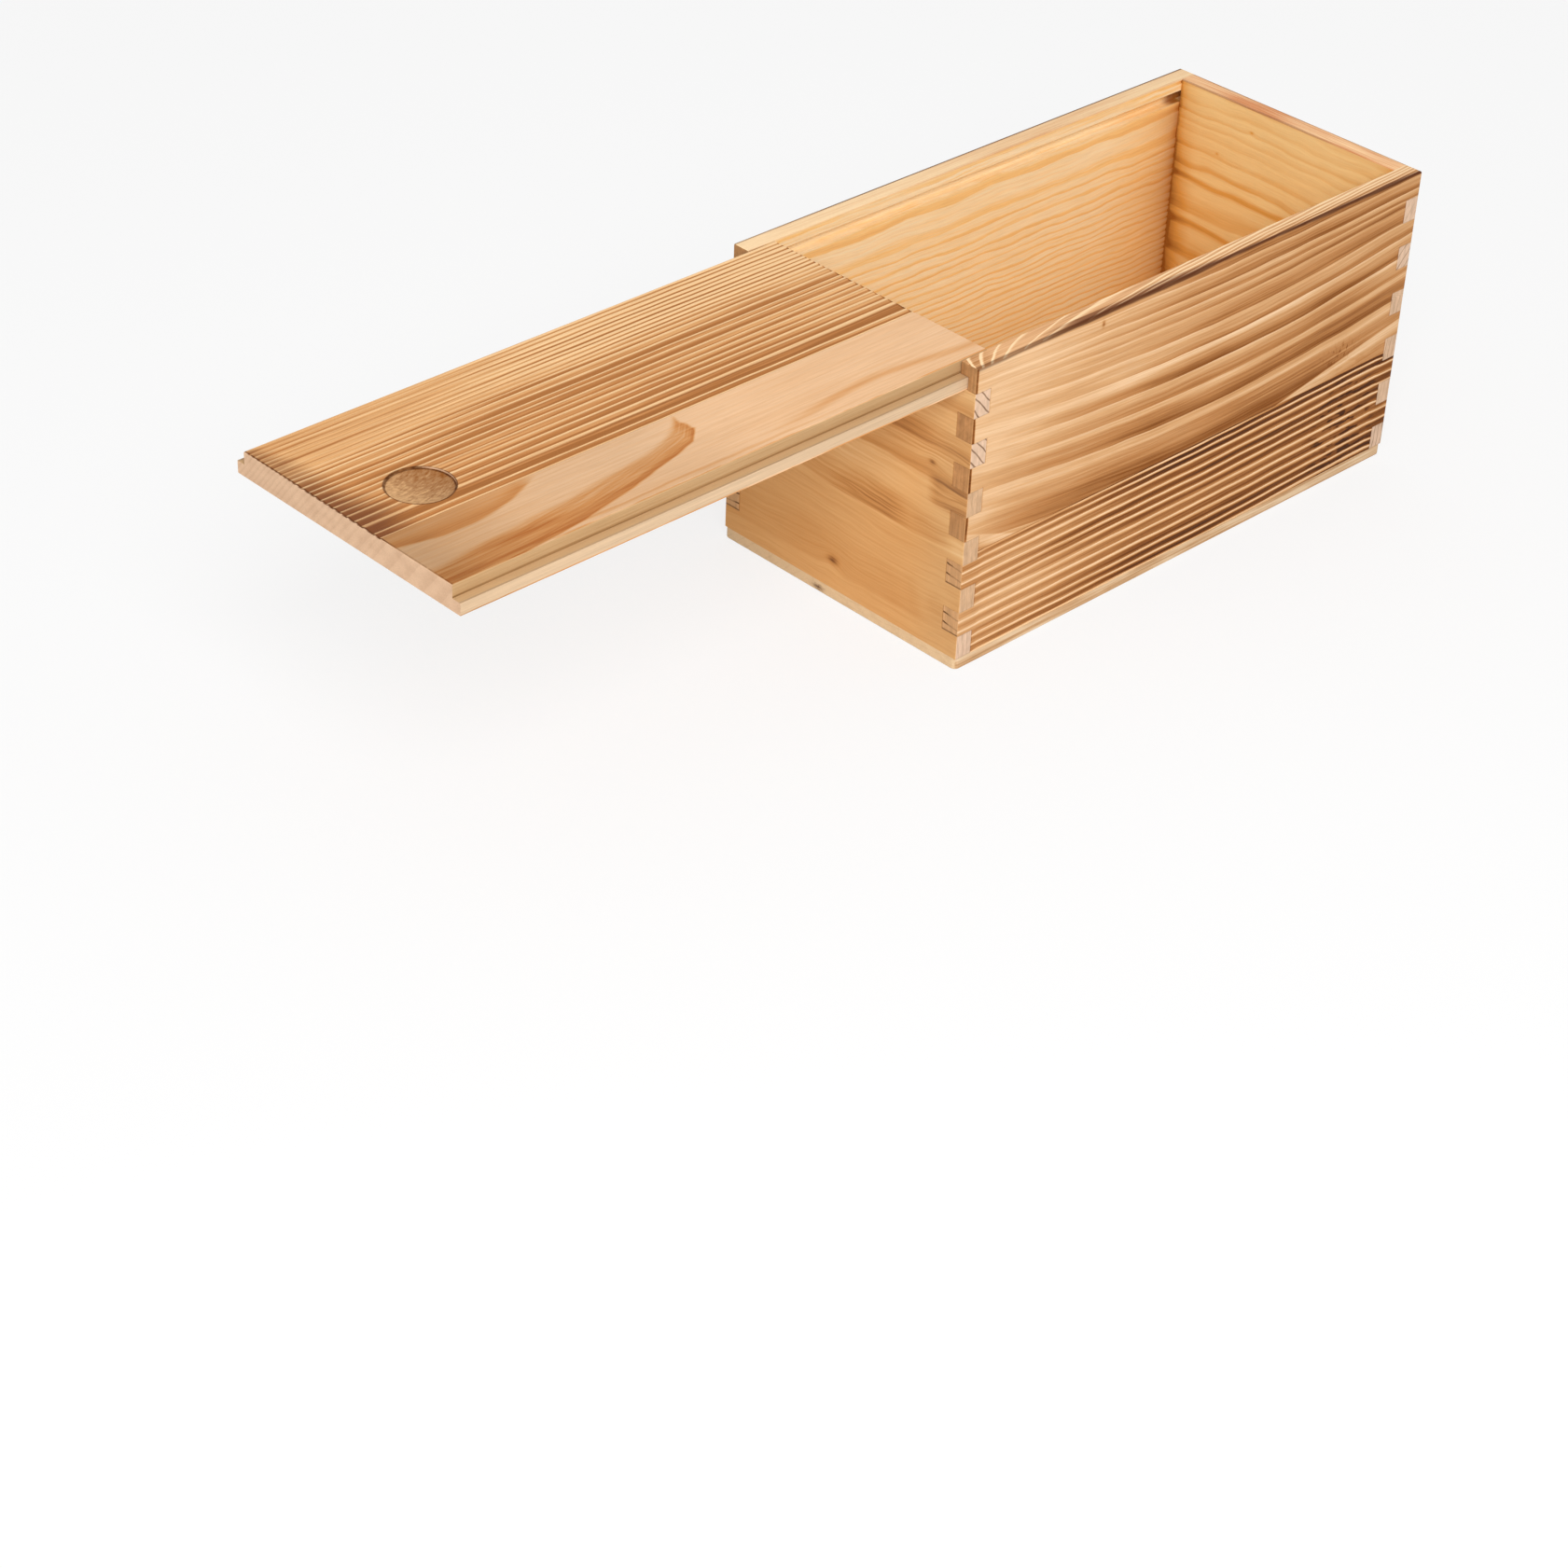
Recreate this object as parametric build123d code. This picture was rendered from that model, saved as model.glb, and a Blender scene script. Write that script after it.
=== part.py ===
# Pine box with finger-jointed corners, a glued-on bottom and a lid that slides in two grooves.
# The origin is at the centre of the footprint, on the surface that the box stands on.
# +X is to the right, +Y towards the closed end and +Z up. The lid leaves through the end at -Y,
# and is shown drawn out almost all the way, with its inner end still in the grooves.

import os

from build123d import *

# Box, in millimetres
box_length = 260.0
box_width = 130.0
wall_height = 126.0          # from the bottom panel up to the rim
wall_thickness = 8.0
bottom_thickness = 5.0
bottom_corner_round = 2.5    # upright corners of the bottom panel
arris_round = 0.6            # sanded outer edges

# Finger joints
finger_count = 12            # fingers of both boards, counted up one corner
finger_play = 0.05           # glue space over and under a finger

# Lid grooves, cut into the inner faces of the side walls
groove_depth = 4.0
groove_height = 5.5

# Lid
lid_thickness = 10.2
tongue_play = 0.3            # over and under the tongue in its groove
tongue_side_play = 0.6       # between the tongue's edge and the bottom of the groove
field_side_play = 0.6        # between the raised field and the side wall
lid_end_play = 0.4           # between the closed lid and the back wall
lid_engagement = 14.0        # what stays in the grooves when the lid is drawn out as shown

# Thumb recess in the lid, a shallow dish with a short upright step at its rim
thumb_diameter = 25.0
thumb_step = 0.6
thumb_dish = 2.0             # from the foot of the step to the lowest point
thumb_from_front = 32.0      # from the lid's front end to the middle of the recess

# Places that follow from the sizes above
rim_z = bottom_thickness + wall_height
finger_height = wall_height / finger_count
groove_floor_z = rim_z - finger_height       # one finger below the rim, where the front wall ends
inside_width = box_width - 2 * wall_thickness
inside_half = inside_width / 2
front_face_y = -box_length / 2
back_face_y = box_length / 2
lid_length = box_length - wall_thickness - lid_end_play
lid_underside_z = groove_floor_z + tongue_play
lid_top_z = lid_underside_z + lid_thickness


def block(x_range, y_range, z_range):
    """Rectangular solid between two places on each axis."""
    sizes = [high - low for low, high in (x_range, y_range, z_range)]
    middle = [(low + high) / 2 for low, high in (x_range, y_range, z_range)]
    return Pos(*middle) * Box(*sizes)


def level_z(level):
    """Height of the top of a finger, where level 0 is the side walls' finger under the rim."""
    return rim_z - level * finger_height


def sanded_outline():
    """Outside of the four glued walls, with its outer edges rounded by sanding."""
    outline = block(
        (-box_width / 2, box_width / 2), (front_face_y, back_face_y), (bottom_thickness, rim_z)
    )
    upright = outline.edges().filter_by(Axis.Z)
    rim = outline.faces().sort_by(Axis.Z)[-1].edges()
    return fillet(upright + rim, arris_round)


def side_wall(side):
    """Long wall, side -1 for left and 1 for right, with sockets for the short walls' fingers."""
    outer_x = side * box_width / 2
    inner_x = side * inside_half
    across = sorted((inner_x, outer_x))
    wall = block(across, (front_face_y, back_face_y), (bottom_thickness, rim_z))
    for level in range(1, finger_count, 2):
        heights = (level_z(level + 1), level_z(level))
        wall -= block(across, (front_face_y, front_face_y + wall_thickness), heights)
        wall -= block(across, (back_face_y - wall_thickness, back_face_y), heights)
    groove_across = sorted((inner_x, inner_x + side * groove_depth))
    groove_heights = (groove_floor_z, groove_floor_z + groove_height)
    wall -= block(groove_across, (front_face_y, back_face_y), groove_heights)
    return wall & sanded_outline()


def short_wall(outer_y, inner_y, top_z):
    """Front or back wall before sanding, with a finger on every other level from the second."""
    along = sorted((outer_y, inner_y))
    wall = block((-inside_half, inside_half), along, (bottom_thickness, top_z))
    for level in range(1, finger_count, 2):
        heights = (level_z(level + 1) + finger_play, level_z(level) - finger_play)
        wall += block((-box_width / 2, box_width / 2), along, heights)
    return wall


def front_wall():
    """One finger lower than the rim, so that the lid passes over it."""
    wall = short_wall(front_face_y, front_face_y + wall_thickness, groove_floor_z)
    top_face = wall.faces().sort_by(Axis.Z)[-1]
    outer_top_edge = top_face.edges().filter_by(Axis.X).sort_by(Axis.Y)[0]
    return fillet(outer_top_edge, arris_round) & sanded_outline()


def back_wall():
    """As high as the rim; the closed lid stops against it."""
    wall = short_wall(back_face_y, back_face_y - wall_thickness, rim_z)
    return wall & sanded_outline()


def bottom_panel():
    """Panel under all four walls, with rounded corners and sanded lower edges."""
    panel = block(
        (-box_width / 2, box_width / 2), (front_face_y, back_face_y), (0, bottom_thickness)
    )
    panel = fillet(panel.edges().filter_by(Axis.Z), bottom_corner_round)
    underside = panel.faces().sort_by(Axis.Z)[0]
    return fillet(underside.edges(), arris_round)


def thumb_recess(centre_y):
    """Cutter for the recess: the step is upright, and the floor below it is part of a sphere."""
    radius = thumb_diameter / 2
    rim_radius_of_floor = (radius**2 + thumb_dish**2) / (2 * thumb_dish)
    floor_middle_z = lid_top_z - thumb_step - thumb_dish
    sphere_centre = Pos(0, centre_y, floor_middle_z + rim_radius_of_floor)
    bowl = sphere_centre * Sphere(rim_radius_of_floor)
    column_height = thumb_step + thumb_dish + arris_round
    column_middle_z = floor_middle_z + column_height / 2
    column = Pos(0, centre_y, column_middle_z) * Cylinder(radius, column_height)
    return bowl & column


def lid():
    """Board with a rabbet along each long side, which leaves a tongue for the groove."""
    front_y = front_face_y + lid_engagement - lid_length
    inner_y = front_face_y + lid_engagement
    along = (front_y, inner_y)
    tongue_half = inside_half + groove_depth - tongue_side_play
    tongue_top_z = lid_underside_z + groove_height - 2 * tongue_play
    field_half = inside_half - field_side_play
    board = block((-tongue_half, tongue_half), along, (lid_underside_z, tongue_top_z))
    board += block((-field_half, field_half), along, (tongue_top_z, lid_top_z))
    top_face = board.faces().sort_by(Axis.Z)[-1]
    board = fillet(top_face.edges(), arris_round)
    return board - thumb_recess(front_y + thumb_from_front)


def build():
    """Every sub-part by its node name."""
    return {
        "side_wall_left": side_wall(-1),
        "side_wall_right": side_wall(1),
        "front_wall": front_wall(),
        "back_wall": back_wall(),
        "bottom_panel": bottom_panel(),
        "lid": lid(),
    }


os.makedirs("parts", exist_ok=True)
for node, shape in build().items():
    export_step(shape, f"parts/{node}.step")
print("lid length", lid_length, "closes by", lid_length - lid_engagement, "lid top z", lid_top_z)
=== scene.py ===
"""Pine box with finger-jointed corners and a sliding lid, in burned and brushed wood.

Lengths in the figure of the wood are millimetres; everything that Blender is given is in metres.
"""

import math

import bmesh
import bpy
from mathutils import Matrix, Vector


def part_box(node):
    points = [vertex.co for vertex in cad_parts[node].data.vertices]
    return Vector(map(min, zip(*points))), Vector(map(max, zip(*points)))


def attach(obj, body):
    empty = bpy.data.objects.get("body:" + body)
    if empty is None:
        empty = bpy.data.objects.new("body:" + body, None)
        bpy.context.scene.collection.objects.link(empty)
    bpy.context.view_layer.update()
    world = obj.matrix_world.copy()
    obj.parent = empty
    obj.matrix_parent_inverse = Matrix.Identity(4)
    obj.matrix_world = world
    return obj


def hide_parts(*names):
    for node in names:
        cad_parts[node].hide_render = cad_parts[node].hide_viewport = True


bl_info = {
    "name": "Pine box with a sliding lid",
    "version": (1, 0, 0),
    "blender": (4, 5, 0),
    "location": "3D View > Sidebar > Pine box",
    "description": "Dresses the boards of a finger-jointed pine box in burned and brushed wood",
    "category": "Object",
}

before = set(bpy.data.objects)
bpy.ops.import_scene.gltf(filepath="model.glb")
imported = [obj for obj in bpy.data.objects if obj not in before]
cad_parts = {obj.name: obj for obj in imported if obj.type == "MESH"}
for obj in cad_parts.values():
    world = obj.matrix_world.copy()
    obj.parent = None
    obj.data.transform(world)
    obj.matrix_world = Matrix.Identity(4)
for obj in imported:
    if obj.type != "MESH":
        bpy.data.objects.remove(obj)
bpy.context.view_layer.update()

MILLIMETRE = 0.001
PER_METRE = 1000.0
MIX_FIRST, MIX_SECOND, MIX_RESULT = 6, 7, 2      # colour sockets of a Mix node

# Sizes of the box, in millimetres
FINGER = 8.0                 # wall thickness, which the end fingers show on a face
FINGER_HEIGHT = 10.5
TONGUE = 4.0                 # what the lid's tongue sticks out beyond its raised field
THUMB_RADIUS = 12.5
THUMB_FROM_FRONT = 32.0
FIELD_HEIGHT = 5.3           # of the lid's raised field above its tongues
GROOVE = (5.0, 10.5)         # top and bottom of the lid's groove, below the rim

# Figure of the wood, in millimetres. Lines are the sharp dark edges where a year ends.
SEAM_BELOW_RIM = 80.5        # where the right wall's two strips are glued
NO_SEAM = 500.0
SIDE_LINES = (-14, -5, 3.5, 10.2, 14.5, 18.8, 27.2, 35, 44.5, 52.7, 63.3, 85, 97, 108, 121, 136)
LOWER_LINES = (76, 80.9, 83.9, 87.2, 91.7, 95.8, 99.8, 104.4, 108.9, 113.6, 118.3, 122.5, 126, 131)
INNER_LINES = (-9, 5, 17.5, 29.5, 34, 39, 44, 47.5, 51, 54.5, 58.5, *(61.5 + 2.9 * n for n in range(25)))
FRONT_LINES = (-22, -6, 10, 24, 41, 55, 80.5, 119, 150)
BACK_LINES = (-8, 0, 7.5, 13.8, 18.8, 23.5, 28.5, 36.5, 44.5, 64, 84, 101, 118, 135)
BOTTOM_LINES = tuple(-20 + 8.5 * n for n in range(22))
LID_LINES = (
    -8.2, -5.4, -2.4, 0.2, 3.0, 5.3, 8.2, 10.7, 13.0, 15.9, 18.1, 20.7, 23.3, 25.8, 28.4,
    32.2, 36.1, 38.6, 42.7, 46, 49.2, 53, 56.3, 60.5, 64.7, 71.3, 74.6, 79, 88,
)
SIDE_BOW = 0.00053           # how much the side walls' lines curve
BOW_CENTRE = 135.0
RIM_LINES = (-10, -3, 5, 11, 16, 21.6, 24.8, 30.1, 31.9, 33.6, 35.8, 37.6, 39.3, 41, 42.6, 44.2, 46, 50)
STRIPES_END = 75.0           # how far across the lid its straight grain reaches
FLAME_HEAD = 122.0
FLAW_FROM_LEFT = 54.5
FRONT_KNOTS = ((111.0, 47.0, 2.0), (62.0, 113.0, 3.4))     # places along and down, and sizes
BACK_KNOTS = ((48.0, 10.5, 1.2), (31.0, 26.0, 0.9))

# How the brushed faces are cut and shaded
FACE_CELL = (3.0, 0.5)       # millimetres along and across the grain
MERGE_DISTANCE = 1e-6
CUT_TOLERANCE = 1e-8
FLAT_ANGLE = math.radians(0.5)
SHARP_ANGLE = math.radians(40)
OUTWARD_SHARE = 0.3
FIBRE_DEPTH = 0.00015

# Studio, in metres unless a line says otherwise
WHITE = (1.0, 1.0, 1.0, 1.0)
KEY_LIGHT_PLACE = (1.05, -0.95, 1.15)
KEY_LIGHT_SIZE = 0.9
SENSOR_WIDTH = 36.0          # millimetres
FARTHEST_SEEN = 100.0

ALONG, ACROSS, THROUGH = 0, 1, 2


def linear(red, green, blue):
    """Linear colour from the 0 to 255 values that a screen shows."""
    def channel(value):
        share = value / 255
        return share / 12.92 if share <= 0.04045 else ((share + 0.055) / 1.055) ** 2.4
    return channel(red), channel(green), channel(blue)


# Node building


class Value:
    """A number socket that can be used in sums. Each operation adds its Math node."""

    def __init__(self, graph, socket):
        self.graph = graph
        self.socket = socket

    def __add__(self, other):
        return self.graph.math("ADD", self, other)

    def __radd__(self, other):
        return self.graph.math("ADD", other, self)

    def __sub__(self, other):
        return self.graph.math("SUBTRACT", self, other)

    def __rsub__(self, other):
        return self.graph.math("SUBTRACT", other, self)

    def __mul__(self, other):
        return self.graph.math("MULTIPLY", self, other)

    def __rmul__(self, other):
        return self.graph.math("MULTIPLY", other, self)

    def __truediv__(self, other):
        return self.graph.math("DIVIDE", self, other)

    def __abs__(self):
        return self.graph.math("ABSOLUTE", self)


class Graph:
    """Adds nodes to one tree, of a material or of Geometry Nodes."""

    def __init__(self, tree):
        self.tree = tree

    def node(self, kind, settings=None, values=None):
        """Adds a node. Its settings are set first, then the values or links of its sockets."""
        made = self.tree.nodes.new(kind)
        for name, setting in (settings or {}).items():
            if name == "stops":
                self.set_stops(made.color_ramp.elements, setting)
            elif name == "points":
                self.set_points(made.mapping, setting)
            else:
                setattr(made, name, setting)
        for name, value in (values or {}).items():
            socket = made.inputs[name]
            source = value.socket if isinstance(value, Value) else value
            if isinstance(source, bpy.types.NodeSocket):
                self.tree.links.new(source, socket)
            else:
                socket.default_value = source
        return made

    @staticmethod
    def set_stops(stops, chosen):
        """Gives a ramp its places and colours; a new ramp has two stops."""
        while len(stops) < len(chosen):
            stops.new(1.0)
        for stop, (position, colour) in zip(stops, chosen):
            stop.position = position
            stop.color = colour

    @staticmethod
    def set_points(mapping, chosen):
        """Gives a curve straight runs between its points; a new curve has two points."""
        points = mapping.curves[0].points
        while len(points) < len(chosen):
            points.new(1.0, 1.0)
        for point, place in zip(points, chosen):
            point.location = place
            point.handle_type = "VECTOR"
        mapping.update()

    def math(self, operation, *terms):
        made = self.node("ShaderNodeMath", {"operation": operation}, dict(enumerate(terms)))
        return Value(self, made.outputs[0])

    def smooth(self, value, low, high):
        """0 up to low and 1 from high on, with a smooth step between; high may be the lower one."""
        made = self.node(
            "ShaderNodeMapRange",
            {"interpolation_type": "SMOOTHSTEP"},
            {"Value": value, "From Min": low, "From Max": high},
        )
        return Value(self, made.outputs["Result"])

    def least(self, first, second):
        return self.math("MINIMUM", first, second)

    def most(self, first, second):
        return self.math("MAXIMUM", first, second)

    def limited(self, value):
        return self.least(self.most(value, 0.0), 1.0)

    def between(self, value, low, high, soft):
        """1 between two places and 0 outside, with soft edges."""
        return self.smooth(value, low - soft, low + soft) * self.smooth(value, high + soft, high - soft)

    def vector(self, x, y, z):
        return self.node("ShaderNodeCombineXYZ", values={0: x, 1: y, 2: z}).outputs[0]

    def noise(self, place, grain, seed=0.0, detail=1.0, roughness=0.5):
        """Noise about 0, mostly within 0.4 of it, with a grain of so many mm in each direction."""
        u, v, w = (part / size + seed for part, size in zip(place, grain))
        made = self.node(
            "ShaderNodeTexNoise",
            {"noise_dimensions": "3D"},
            {"Vector": self.vector(u, v, w), "Scale": 1.0, "Detail": detail, "Roughness": roughness},
        )
        return Value(self, made.outputs[0]) - 0.5

    def chance(self, number, seed=0.0):
        """A random number from 0 to 1 for each whole number."""
        made = self.node("ShaderNodeTexWhiteNoise", {"noise_dimensions": "1D"}, {"W": number + seed})
        return Value(self, made.outputs["Value"])

    def mound(self, place, centre, size):
        """1 at a centre on the board's face, falling to 0 over about its size along and across."""
        far_along = (place[0] - centre[0]) / size[0]
        far_across = (place[1] - centre[1]) / size[1]
        return self.math("EXPONENT", (far_along * far_along + far_across * far_across) * -1.0)

    def blend(self, first, second, share):
        """First colour where share is 0 and second where it is 1."""
        made = self.node(
            "ShaderNodeMix",
            {"data_type": "RGBA", "clamp_factor": True},
            {0: share, MIX_FIRST: self.opaque(first), MIX_SECOND: self.opaque(second)},
        )
        return made.outputs[MIX_RESULT]

    def ramp(self, value, *colours):
        """The first colour where the value is 0 and the last where it is 1, with even steps between."""
        stops = [(n / (len(colours) - 1), self.opaque(colour)) for n, colour in enumerate(colours)]
        return self.node("ShaderNodeValToRGB", {"stops": stops}, {0: value}).outputs[0]

    def scaled(self, colour, amount):
        """Colour made lighter or darker by a factor."""
        made = self.node("ShaderNodeVectorMath", {"operation": "SCALE"}, {0: colour, "Scale": amount})
        return made.outputs[0]

    def mixed(self, first, second, share):
        """First shader where share is 0 and second where it is 1."""
        values = {0: share, 1: first.outputs[0], 2: second.outputs[0]}
        return self.node("ShaderNodeMixShader", values=values).outputs[0]

    @staticmethod
    def opaque(colour):
        if isinstance(colour, bpy.types.NodeSocket):
            return colour
        return (*colour, 1.0)


def fresh_graph(owner):
    """The node tree of a new material or world, emptied."""
    owner.use_nodes = True
    owner.node_tree.nodes.clear()
    return Graph(owner.node_tree)


# The wood


class Rings:
    """Yearly rings at a place: how far through the year it is, and how strong that year's line is."""

    def __init__(self, graph, count, across, seed):
        self.graph = graph
        self.across = across
        self.year = graph.math("FLOOR", count)
        self.part = graph.math("FRACT", count)
        self.luck = graph.chance(self.year, seed)
        self.strength = 0.6 + self.luck * 0.4
        self.crest = graph.smooth(self.part, 0.0, 0.26) * graph.smooth(self.part, 0.8, 0.3)

    def line(self, low, high, end):
        """Rises from 0 to 1 between two parts of the year and falls again between end and its last day."""
        return self.graph.smooth(self.part, low, high) * self.graph.smooth(self.part, 1.0, end)

    def along(self, place):
        """The place measured along the lines, so that noise taken there runs with the grain."""
        return place[ALONG], self.across, place[THROUGH]


def line_count(graph, across, lines):
    """Lines passed up to a place, with the share of the way to the next one."""
    span = lines[-1] - lines[0]
    points = [((line - lines[0]) / span, n / (len(lines) - 1)) for n, line in enumerate(lines)]
    ruler = graph.node("ShaderNodeFloatCurve", {"points": points}, {"Value": (across - lines[0]) / span})
    return Value(graph, ruler.outputs[0]) * float(len(lines) - 1)


class Board:
    """One board: its CAD node, and the directions in which places on it are measured."""

    fibre_shade = 0.34           # how much the fibres darken and lighten the wood
    jointed = True               # whether its ends are fingers of a corner
    first_finger = 0             # level of its highest finger, where 0 is the one under the rim
    slant = 0.8                  # how far its lines shift across for each millimetre through it
    knots = ()                   # places along and down it, and sizes

    def __init__(self, node, along, across, through):
        self.node = node
        self.directions = (along, across, through)
        low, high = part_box(node)
        self.measures = []
        for direction in self.directions:
            sense = 1 if direction[0] == "+" else -1
            axis = "xyz".index(direction[1])
            start = low[axis] if sense > 0 else high[axis]
            self.measures.append((axis, sense, start))
        self.length, self.width, self.thickness = (
            (high[axis] - low[axis]) * PER_METRE for axis, sense, start in self.measures
        )

    def place(self, graph, position):
        """Millimetres along, across and through the board, from its corner."""
        parts = graph.node("ShaderNodeSeparateXYZ", values={0: position}).outputs
        return tuple(
            (Value(graph, parts[axis]) - start) * (sense * PER_METRE)
            for axis, sense, start in self.measures
        )

    def facing(self, graph, normal, which):
        """How far a face looks along one of the board's directions, from -1 to 1."""
        axis, sense, start = self.measures[which]
        parts = graph.node("ShaderNodeSeparateXYZ", values={0: normal}).outputs
        return Value(graph, parts[axis]) * float(sense)

    def to_end(self, graph, place):
        """How far a place is from the nearer end of the board."""
        return graph.least(place[ALONG], self.length - place[ALONG])

    def rings(self, graph, place):
        """Yearly rings with the board's own drift, ripple and slant, bent round its knots."""
        u, v, w = place
        drift = graph.noise(place, self.drift_grain, self.seed) * self.drift
        ripple = graph.noise(place, self.ripple_grain, self.seed + 4) * self.ripple
        across = v + w * self.slant + drift + ripple
        for along, down, size in self.knots:
            across += graph.mound(place, (along, down), (size * 2.6, size * 1.7)) * size
        return Rings(graph, line_count(graph, across, self.lines), across, self.seed)

    def line_clarity(self, graph, place):
        """How clear the lines in a sawn end are."""
        return 0.15

    def end_colour(self, graph, place, look):
        """Sawn ends: pale, with thin slanting lines."""
        u, v, w = place
        upright = graph.smooth(v, 48.0, 56.0)
        slant = w * (1.15 + upright) - v * (1.0 - upright * 0.8)
        part = graph.math("FRACT", (slant + graph.noise(place, (4, 9, 9), self.seed + 81) * 4) / 5.4)
        line = graph.smooth(part, 0.72, 0.81) * graph.smooth(part, 0.98, 0.89)
        cloud = graph.noise(place, (5, 5, 5), self.seed + 83, detail=2)
        share = graph.limited(line * self.line_clarity(graph, place) + cloud * 0.7)
        colour = graph.blend(look.end_pale, look.end_line, share)
        if not self.jointed:
            return colour
        to_joint = abs(graph.math("FRACT", v / FINGER_HEIGHT + 0.5) - 0.5) * FINGER_HEIGHT
        return graph.blend(colour, look.end_line, graph.smooth(to_joint, 0.5, 0.1) * 0.35)

    def socket_line(self, graph, place):
        """1 on the glue line beside each finger of the other board."""
        level = graph.math("FLOORED_MODULO", place[ACROSS] / FINGER_HEIGHT + self.first_finger, 2.0)
        at_joint = graph.smooth(abs(self.to_end(graph, place) - FINGER), 0.5, 0.1)
        return at_joint * graph.math("GREATER_THAN", level, 1.0)

    def on_rim(self, graph, place):
        """1 on top of the rim."""
        return graph.smooth(place[ACROSS], 0.75, 0.2)

    def wood(self, look):
        """The board's material: its own figure, with fibres, and a satin surface."""
        material = bpy.data.materials.new(self.node + " pine")
        graph = fresh_graph(material)
        seen = graph.node("ShaderNodeTexCoord").outputs
        place = self.place(graph, seen["Object"])
        rings, colour = self.wood_colour(graph, place, seen["Normal"], look)
        end = graph.smooth(abs(self.facing(graph, seen["Normal"], ALONG)), 0.55, 0.85)
        colour = graph.blend(colour, self.end_colour(graph, place, look), end)
        fibre = graph.noise(rings.along(place), (12, 0.45, 0.45), self.seed + 91, detail=3, roughness=0.65)
        colour = graph.scaled(colour, 1.0 + fibre * self.fibre_shade)
        ridge = graph.smooth(rings.part, 0.0, 0.05) * rings.crest * self.brushed(graph, place)
        height = fibre * 0.7 + ridge * 0.5
        bump = graph.node("ShaderNodeBump", values={"Distance": FIBRE_DEPTH, "Height": height})
        shader = graph.node("ShaderNodeBsdfPrincipled", values={
            "Base Color": colour,
            "Roughness": 0.6 + fibre * 0.25 - rings.crest * 0.06,
            "IOR": 1.2,
            "Specular IOR Level": 0.3,
            "Normal": bump.outputs[0],
        })
        graph.node("ShaderNodeOutputMaterial", values={"Surface": shader.outputs[0]})
        return material


def board_mesh(board, cell):
    """A copy of a CAD node as whole faces, with the brushed face cut into cells along and across."""
    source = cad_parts[board.node].data
    mesh = bmesh.new()
    mesh.from_mesh(source)
    bmesh.ops.remove_doubles(mesh, verts=mesh.verts, dist=MERGE_DISTANCE)
    bmesh.ops.dissolve_limit(mesh, angle_limit=FLAT_ANGLE, verts=mesh.verts, edges=mesh.edges)
    through_axis, through_sense, start = board.measures[THROUGH]
    outer = [f for f in mesh.faces if f.normal[through_axis] * through_sense < -OUTWARD_SHARE]
    for which, step in ((ALONG, cell[0]), (ACROSS, cell[1])):
        axis = board.measures[which][0]
        places = [v.co[axis] for face in outer for v in face.verts]
        low, high = min(places), max(places)
        count = max(1, round((high - low) * PER_METRE / step))
        cuts = [low + (high - low) * n / count for n in range(1, count)]
        outer = sliced(mesh, outer, axis, cuts)
    for face in mesh.faces:
        face.smooth = True
    for edge in mesh.edges:
        edge.smooth = edge.calc_face_angle(0.0) < SHARP_ANGLE
    made = bpy.data.meshes.new(board.node + "_board")
    mesh.to_mesh(made)
    mesh.free()
    return made


def sliced(mesh, faces, axis, cuts):
    """Cuts faces at each place along an axis, halving the list each time. Gives all the parts."""
    if not cuts or not faces:
        return faces
    middle = len(cuts) // 2
    normal = Vector([float(n == axis) for n in range(3)])
    edges = {edge for face in faces for edge in face.edges}
    verts = {vert for face in faces for vert in face.verts}
    cut = bmesh.ops.bisect_plane(
        mesh, geom=[*faces, *edges, *verts], dist=CUT_TOLERANCE,
        plane_co=normal * cuts[middle], plane_no=normal,
    )
    parts = [item for item in cut["geom"] if isinstance(item, bmesh.types.BMFace)]
    low = [face for face in parts if face.calc_center_median()[axis] < cuts[middle]]
    high = [face for face in parts if face.calc_center_median()[axis] >= cuts[middle]]
    return sliced(mesh, low, axis, cuts[:middle]) + sliced(mesh, high, axis, cuts[middle + 1:])


def relief_tree(board):
    """Geometry Nodes that sink the brushed face of a board between its yearly lines."""
    tree = bpy.data.node_groups.new(board.node + " relief", "GeometryNodeTree")
    tree.is_modifier = True
    tree.interface.new_socket("Geometry", in_out="INPUT", socket_type="NodeSocketGeometry")
    tree.interface.new_socket("Geometry", in_out="OUTPUT", socket_type="NodeSocketGeometry")
    identifiers = {
        name: tree.interface.new_socket(name, in_out="INPUT", socket_type=kind).identifier
        for name, kind in (("Relief depth", "NodeSocketFloat"), ("Wood", "NodeSocketMaterial"))
    }
    graph = Graph(tree)
    given = graph.node("NodeGroupInput").outputs
    place = board.place(graph, graph.node("GeometryNodeInputPosition").outputs[0])
    normal = graph.node("GeometryNodeInputNormal").outputs[0]
    outward = graph.smooth(board.facing(graph, normal, THROUGH), -0.2, -0.7)
    rings = board.rings(graph, place)
    sunk = (1.0 - rings.crest) * board.brushed(graph, place) * outward
    depth = sunk * Value(graph, given["Relief depth"])
    axis, sense, start = board.measures[THROUGH]
    offset = graph.vector(*(depth * float(sense) if n == axis else 0.0 for n in range(3)))
    moved = graph.node("GeometryNodeSetPosition", values={"Geometry": given["Geometry"], "Offset": offset})
    real = graph.node("GeometryNodeRealizeInstances", values={0: moved.outputs[0]})
    finished = graph.node(
        "GeometryNodeSetMaterial", values={"Geometry": real.outputs[0], "Material": given["Wood"]}
    )
    graph.node("NodeGroupOutput", values={"Geometry": finished.outputs[0]})
    return tree, identifiers


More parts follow.
